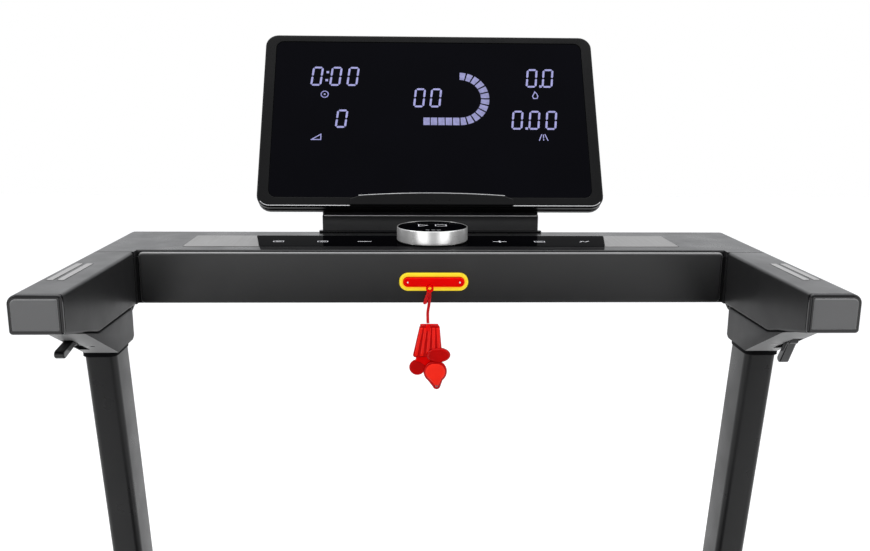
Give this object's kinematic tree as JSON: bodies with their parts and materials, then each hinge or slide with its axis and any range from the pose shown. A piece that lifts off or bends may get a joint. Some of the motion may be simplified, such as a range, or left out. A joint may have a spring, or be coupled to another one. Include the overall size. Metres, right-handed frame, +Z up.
{
  "type": "treadmill",
  "caption": "Folding home treadmill: powered running deck with incline lift, folding uprights, handrail head with speed knob, safety key and tilted glass display.",
  "frame": {"origin": "on the floor under the centre of the machine's outline", "axes": "+Z up, +Y away from the user towards the motor end, +X to the user's right"},
  "size_m": [0.738, 1.3, 1.2456],
  "materials": {
    "rail_plastic": "fine texture, satin",
    "lid_plastic": "fine texture, satin",
    "bracket_plastic": "fine texture",
    "gloss_black": "gloss",
    "panel_black": "high gloss",
    "bezel_black": "satin",
    "glass_black": "black glass look",
    "silver": "brushed",
    "knob_metal": "brushed",
    "upright_paint": "satin powder coat",
    "frame_paint": "powder coat",
    "steel": "turned",
    "cast_iron": "painted casting",
    "controller_aluminium": "anodised",
    "deck_board": "coated board",
    "belt_rubber": "fine diamond texture",
    "rubber": "matte",
    "cover_plastic": "fine texture",
    "board_green": "printed circuit board",
    "key_yellow": "semi gloss",
    "key_red": "gloss",
    "cord_red": "braided cord"
  },
  "bodies": {
    "base": {"frame_rail_left": "frame_paint", "frame_rail_right": "frame_paint", "frame_crossmember_front": "frame_paint", "frame_crossmember_rear": "frame_paint", "upright_cross_tube": "frame_paint", "base_bracket_left": "frame_paint", "base_bracket_right": "frame_paint", "running_board": "deck_board", "running_belt": "belt_rubber", "front_axle": "steel", "rear_axle": "steel", "drive_motor": "cast_iron", "drive_belt": "rubber", "motor_controller": "controller_aluminium", "motor_pan": "frame_paint", "motor_cover": "cover_plastic", "foot_rail_left": "cover_plastic", "foot_rail_right": "cover_plastic", "rear_cap_left": "cover_plastic", "rear_cap_right": "cover_plastic", "rear_foot_left": "rubber", "rear_foot_right": "rubber", "incline_actuator": "cast_iron", "power_inlet": "gloss_black"},
    "front_roller": {"front_roller": "steel"},
    "rear_roller": {"rear_roller": "steel"},
    "motor_rotor": {"motor_flywheel": "steel"},
    "lift_frame": {"lift_frame": "frame_paint"},
    "wheel_left": {"transport_wheel_left": "rubber"},
    "wheel_right": {"transport_wheel_right": "rubber"},
    "actuator_rod": {"actuator_rod": "steel"},
    "power_switch": {"power_switch": "key_red"},
    "lock_knob_left": {"lock_knob_left": "gloss_black"},
    "lock_knob_right": {"lock_knob_right": "gloss_black"},
    "uprights": {"upright_left": "upright_paint", "upright_right": "upright_paint", "bracket_left": "bracket_plastic", "bracket_right": "bracket_plastic"},
    "lever_left": {"lever_left": "gloss_black"},
    "lever_right": {"lever_right": "gloss_black"},
    "head": {"crossbar_housing": "rail_plastic", "crossbar_top_cover": "lid_plastic", "handrail_left": "rail_plastic", "handrail_right": "rail_plastic", "pulse_plate_left": "silver", "pulse_plate_right": "silver", "key_panel": "panel_black", "knob_encoder": "silver", "display_neck": "bezel_black", "display_back_shell": "bezel_black", "display_bezel": "bezel_black", "display_glass": "glass_black", "display_board": "board_green", "key_socket": "key_yellow"},
    "knob_ring": {"knob_ring": "knob_metal"},
    "knob_cap": {"knob_cap": "panel_black"},
    "safety_key": {"safety_key": "key_red", "lanyard": "cord_red", "clip_body": "key_red"},
    "clip_jaw": {"clip_jaw": "key_red"}
  },
  "joints": [
    {"name": "front_roller_spin", "type": "hinge", "parent": "base", "child": "front_roller", "pos_m": [0, 0.35, 0.09971], "axis": [1, 0, 0], "continuous": true},
    {"name": "rear_roller_spin", "type": "hinge", "parent": "base", "child": "rear_roller", "pos_m": [0, -0.585, 0.09971], "axis": [1, 0, 0], "continuous": true},
    {"name": "motor_spin", "type": "hinge", "parent": "base", "child": "motor_rotor", "pos_m": [0, 0.5, 0.115], "axis": [1, 0, 0], "continuous": true},
    {"name": "incline_lift", "type": "hinge", "parent": "base", "child": "lift_frame", "pos_m": [0, 0.4, 0.028], "axis": [-1, 0, 0], "range_deg": [0, 18]},
    {"name": "actuator_extend", "type": "slide", "parent": "base", "child": "actuator_rod", "axis": [0, 0, -1], "range_m": [0, 0.033]},
    {"name": "wheel_left_spin", "type": "hinge", "parent": "lift_frame", "child": "wheel_left", "pos_m": [-0.226, 0.575, 0.022], "axis": [1, 0, 0], "continuous": true},
    {"name": "wheel_right_spin", "type": "hinge", "parent": "lift_frame", "child": "wheel_right", "pos_m": [0.226, 0.575, 0.022], "axis": [1, 0, 0], "continuous": true},
    {"name": "power_switch_rock", "type": "hinge", "parent": "base", "child": "power_switch", "pos_m": [-0.1815, 0.642, 0.078], "axis": [-1, 0, 0], "range_deg": [0, 10]},
    {"name": "lock_knob_left_turn", "type": "hinge", "parent": "base", "child": "lock_knob_left", "pos_m": [-0.348, 0.29497, 0.198], "axis": [-1, 0, 0], "continuous": true},
    {"name": "lock_knob_right_turn", "type": "hinge", "parent": "base", "child": "lock_knob_right", "pos_m": [0.348, 0.29497, 0.198], "axis": [1, 0, 0], "continuous": true},
    {"name": "upright_fold", "type": "hinge", "parent": "base", "child": "uprights", "pos_m": [0, 0.3, 0.17], "axis": [1, 0, 0], "range_deg": [0, 80]},
    {"name": "head_fold", "type": "hinge", "parent": "uprights", "child": "head", "pos_m": [0, 0.212, 0.966], "axis": [-1, 0, 0], "range_deg": [0, 80]},
    {"name": "lever_left_swing", "type": "hinge", "parent": "uprights", "child": "lever_left", "pos_m": [-0.33, 0.112, 0.9585], "axis": [1, 0, 0], "range_deg": [-6, 137]},
    {"name": "lever_right_swing", "type": "hinge", "parent": "uprights", "child": "lever_right", "pos_m": [0.33, 0.112, 0.9585], "axis": [1, 0, 0], "range_deg": [-119, 24]},
    {"name": "knob_turn", "type": "hinge", "parent": "head", "child": "knob_ring", "pos_m": [0, 0.2805, 1.021], "axis": [0, 0, 1], "continuous": true},
    {"name": "knob_press", "type": "slide", "parent": "knob_ring", "child": "knob_cap", "axis": [0, 0, -1], "range_m": [0, 0.001], "stiffness_N_per_m": 1500, "springref_m": -0.0008},
    {"name": "key_pull", "type": "slide", "parent": "head", "child": "safety_key", "axis": [0, -1, 0], "range_m": [0, 0.03]},
    {"name": "clip_open", "type": "hinge", "parent": "safety_key", "child": "clip_jaw", "pos_m": [0, 0.21, 0.918], "axis": [1, 0, 0], "range_deg": [0, 12], "stiffness_Nm_per_rad": 0.05, "springref_deg": -22.92}
  ],
  "couplings": [
    {"joint": "rear_roller_spin", "follows": "front_roller_spin", "ratio": 1},
    {"joint": "motor_spin", "follows": "front_roller_spin", "ratio": 2.3786},
    {"joint": "actuator_extend", "follows": "incline_lift", "m_per_rad": 0.105}
  ]
}
